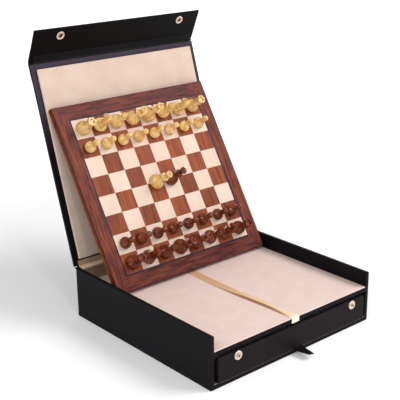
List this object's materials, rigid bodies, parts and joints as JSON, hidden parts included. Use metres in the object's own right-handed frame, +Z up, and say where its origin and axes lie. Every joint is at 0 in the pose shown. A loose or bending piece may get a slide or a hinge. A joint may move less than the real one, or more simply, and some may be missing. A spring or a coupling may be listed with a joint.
{
  "type": "chess box with drawer",
  "caption": "Flat covered case with hinged lid and snap flap, a drawer under a velvet deck, and a framed magnetic chessboard with turned men leaning on the open lid.",
  "frame": {"origin": "centre of the case's flat bottom face", "axes": "+Z up, -Y towards the drawer's front, +X to the right as seen from the front"},
  "size_m": [0.327, 0.4463, 0.4431],
  "materials": {
    "black_leatherette": "black grained leatherette over board",
    "beige_velvet": "short pink-beige velvet",
    "drawer_wood": "plain thin board",
    "ribbon": "satin ribbon",
    "snap_metal": "nickel-plated snap fastener",
    "rosewood": "satin-lacquered rosewood",
    "dark_inlay": "dyed black-blue stringing",
    "maple_veneer": "satin-lacquered pale maple",
    "rosewood_veneer": "satin-lacquered red-brown rosewood",
    "sheet_steel": "thin steel sheet",
    "core_wood": "fibreboard core",
    "felt": "thin dark felt",
    "boxwood": "polished boxwood",
    "stained_rosewood": "polished red-brown rosewood",
    "magnet_steel": "plated disc magnet"
  },
  "bodies": {
    "case": {"base_board": "black_leatherette", "left_wall": "black_leatherette", "right_wall": "black_leatherette", "back_wall": "black_leatherette", "deck_shelf": "black_leatherette", "deck_lining": "beige_velvet", "back_lining": "beige_velvet", "bay_lining": "beige_velvet", "drawer_guides": "drawer_wood", "lift_ribbon": "ribbon", "lid_hinge": "beige_velvet"},
    "lid": {"lid_panel": "black_leatherette", "lid_pad": "beige_velvet", "flap_hinge": "black_leatherette"},
    "flap": {"flap_panel": "black_leatherette", "flap_sockets": "snap_metal", "flap_caps": "snap_metal"},
    "drawer": {"drawer_front": "black_leatherette", "drawer_left_side": "drawer_wood", "drawer_right_side": "drawer_wood", "drawer_back": "drawer_wood", "drawer_floor": "drawer_wood", "drawer_lining": "beige_velvet", "drawer_divider": "beige_velvet", "drawer_studs": "snap_metal", "drawer_rivets": "snap_metal", "pull_tab": "black_leatherette"},
    "board": {"board_front_rail": "rosewood", "board_right_rail": "rosewood", "board_rear_rail": "rosewood", "board_left_rail": "rosewood", "inlay_line": "dark_inlay", "light_squares": "maple_veneer", "dark_squares": "rosewood_veneer", "board_steel_plate": "sheet_steel", "board_core": "core_wood", "board_backing": "felt"},
    "light_men": {"light_pawns": "boxwood", "light_rooks": "boxwood", "light_knights": "boxwood", "light_bishops": "boxwood", "light_queen": "boxwood", "light_king": "boxwood", "light_spare_queen": "boxwood", "light_felts": "felt", "light_magnets": "magnet_steel"},
    "dark_men": {"dark_pawns": "stained_rosewood", "dark_rooks": "stained_rosewood", "dark_knights": "stained_rosewood", "dark_bishops": "stained_rosewood", "dark_queen": "stained_rosewood", "dark_king": "stained_rosewood", "dark_spare_queen": "stained_rosewood", "dark_felts": "felt", "dark_magnets": "magnet_steel"}
  },
  "joints": [
    {"name": "lid_hinge", "type": "hinge", "parent": "case", "child": "lid", "pos_m": [0, 0.16, 0.081], "axis": [-1, 0, 0], "range_deg": [-107.2, 0]},
    {"name": "flap_hinge", "type": "hinge", "parent": "lid", "child": "flap", "pos_m": [0, 0.25772, 0.38992], "axis": [-1, 0, 0], "range_deg": [-48.6, 41.4]},
    {"name": "drawer_slide", "type": "slide", "parent": "case", "child": "drawer", "axis": [0, -1, 0], "range_m": [0, 0.2]},
    {"name": "board_lift_out", "type": "slide", "parent": "case", "child": "board", "axis": [0, -0.9397, 0.342], "range_m": [0, 0.751]},
    {"name": "light_men_lift", "type": "slide", "parent": "board", "child": "light_men", "axis": [0, -0.8526, 0.5225], "range_m": [0, 0.08]},
    {"name": "dark_men_lift", "type": "slide", "parent": "board", "child": "dark_men", "axis": [0, -0.8526, 0.5225], "range_m": [0, 0.08]}
  ],
  "couplings": [
    {"joint": "board_lift_out", "follows": "lid_hinge", "m_per_rad": -0.40086}
  ]
}
